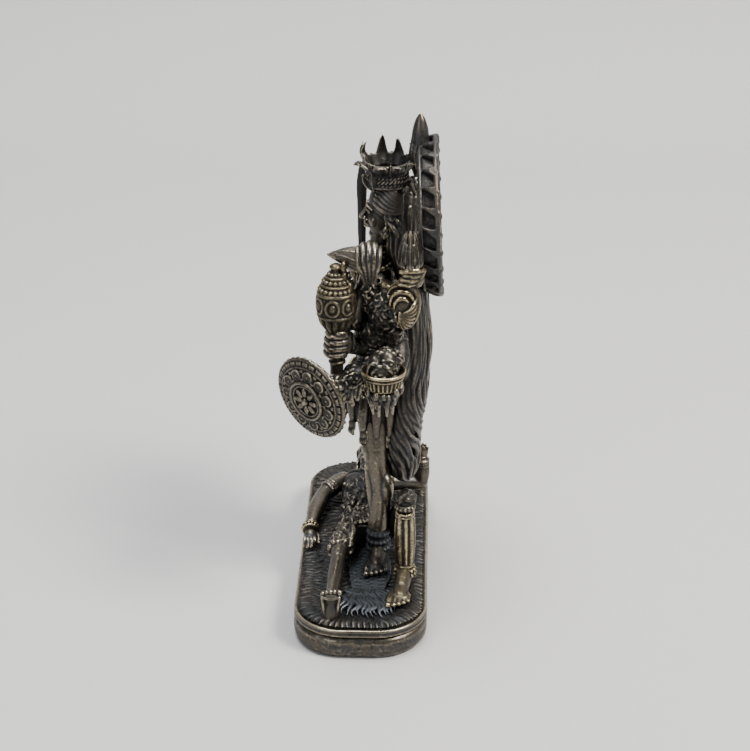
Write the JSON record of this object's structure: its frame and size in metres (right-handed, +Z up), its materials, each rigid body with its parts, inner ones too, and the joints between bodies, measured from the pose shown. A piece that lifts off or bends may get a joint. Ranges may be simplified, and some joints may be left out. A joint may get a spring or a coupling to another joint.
{
  "type": "brass deity figurine",
  "caption": "Small cast brass figurine: a many-armed goddess with a toothed halo, shield, mace and bowl stands on a reclining man, on a rounded base with a fur hide.",
  "frame": {"origin": "middle of the plinth's flat underside, on the surface it stands on", "axes": "+Z up through the figure; +X towards the goddess's left along the base's long side; -Y towards her front"},
  "size_m": [0.08, 0.0367, 0.1118],
  "materials": {
    "aged_brass": "antiqued cast brass: grey-brown patina with worn, brighter edges",
    "dark_patina": "antiqued cast brass with a dark patina in its grooves",
    "worn_brass": "antiqued cast brass, rubbed back to warm yellow on raised detail",
    "slate_patina": "antiqued cast brass with a blue-grey patina"
  },
  "bodies": {
    "root": {"arm_left_bowl": "aged_brass", "arm_left_bud": "aged_brass", "arm_left_conch": "aged_brass", "arm_left_mace": "aged_brass", "arm_left_shield": "aged_brass", "arm_right_discus": "aged_brass", "arm_right_drum": "aged_brass", "arm_right_open": "aged_brass", "arm_right_sword": "aged_brass", "arm_right_trident": "aged_brass", "bowl": "worn_brass", "bowl_contents": "aged_brass", "conch": "aged_brass", "crown": "worn_brass", "deck_plate": "aged_brass", "discus": "worn_brass", "flower_bud": "worn_brass", "garland": "dark_patina", "girdle": "worn_brass", "hair_cape": "dark_patina", "halo_leaf": "aged_brass", "halo_ring": "aged_brass", "hand_drum": "worn_brass", "head": "aged_brass", "hide_rug": "dark_patina", "left_anklets": "dark_patina", "left_foot": "aged_brass", "left_leg": "aged_brass", "mace": "worn_brass", "necklace": "worn_brass", "plinth": "aged_brass", "reclining_anklet": "worn_brass", "reclining_greave": "worn_brass", "reclining_hair_bun": "dark_patina", "reclining_head": "aged_brass", "reclining_knee_band": "worn_brass", "reclining_left_arm": "aged_brass", "reclining_left_foot": "worn_brass", "reclining_left_hand": "aged_brass", "reclining_left_thigh": "aged_brass", "reclining_loincloth": "dark_patina", "reclining_right_arm": "aged_brass", "reclining_right_foot": "worn_brass", "reclining_right_hand": "aged_brass", "reclining_right_leg": "aged_brass", "reclining_torso": "aged_brass", "reclining_wrist_band": "worn_brass", "right_anklets": "dark_patina", "right_foot": "aged_brass", "right_leg": "aged_brass", "shield": "worn_brass", "skin_apron": "slate_patina", "skirt_of_arms": "dark_patina", "sword": "dark_patina", "torso": "aged_brass", "trident": "dark_patina"}
  },
  "joints": []
}
